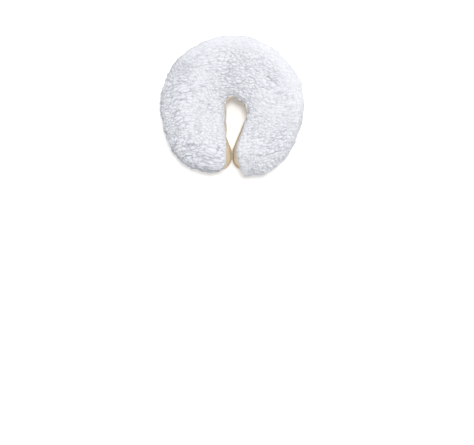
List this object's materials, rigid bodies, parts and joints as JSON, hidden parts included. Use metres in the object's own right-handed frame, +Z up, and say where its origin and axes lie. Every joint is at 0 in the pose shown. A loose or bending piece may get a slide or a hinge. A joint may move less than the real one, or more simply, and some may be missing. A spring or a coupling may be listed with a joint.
{
  "type": "face cradle cushion",
  "caption": "Horseshoe face cushion for a massage table: layered foam in a piped vinyl skin with loop strips underneath, in a fleece cover that lifts off.",
  "frame": {"origin": "middle of the footprint's bounding box, at the level of the loop strips' lower faces", "axes": "+Z up, away from the cradle's platform; +Y from the open ends of the arms towards the crown; +X to the right seen from above with the crown at the top"},
  "size_m": [0.324, 0.312, 0.0859],
  "materials": {
    "firm_foam": "matte",
    "soft_foam": "matte",
    "vinyl": "satin",
    "piping": "satin",
    "seam_thread": "satin",
    "loop_tape": "matte",
    "fleece": "matte",
    "cotton": "matte",
    "hem_thread": "matte",
    "elastic": "matte"
  },
  "bodies": {
    "cushion": {"foam_base": "firm_foam", "comfort_foam": "soft_foam", "vinyl_top_panel": "vinyl", "vinyl_outer_band": "vinyl", "vinyl_inner_band": "vinyl", "vinyl_bottom_panel": "vinyl", "top_piping": "piping", "top_seam_thread": "seam_thread", "bottom_piping": "piping", "bottom_seam_thread": "seam_thread", "crown_loop_strip": "loop_tape", "crown_strip_thread": "seam_thread", "right_loop_strip": "loop_tape", "right_strip_thread": "seam_thread", "left_loop_strip": "loop_tape", "left_strip_thread": "seam_thread"},
    "fleece_cover": {"fleece_top_panel": "fleece", "fleece_outer_skirt": "fleece", "cover_inner_band": "cotton", "outer_hem_casing": "cotton", "outer_hem_thread": "hem_thread", "inner_hem_casing": "cotton", "inner_hem_thread": "hem_thread", "hem_elastic": "elastic"}
  },
  "joints": [
    {"name": "cover_lift", "type": "slide", "parent": "cushion", "child": "fleece_cover", "axis": [0, 0, 1], "range_m": [0, 0.13]}
  ]
}
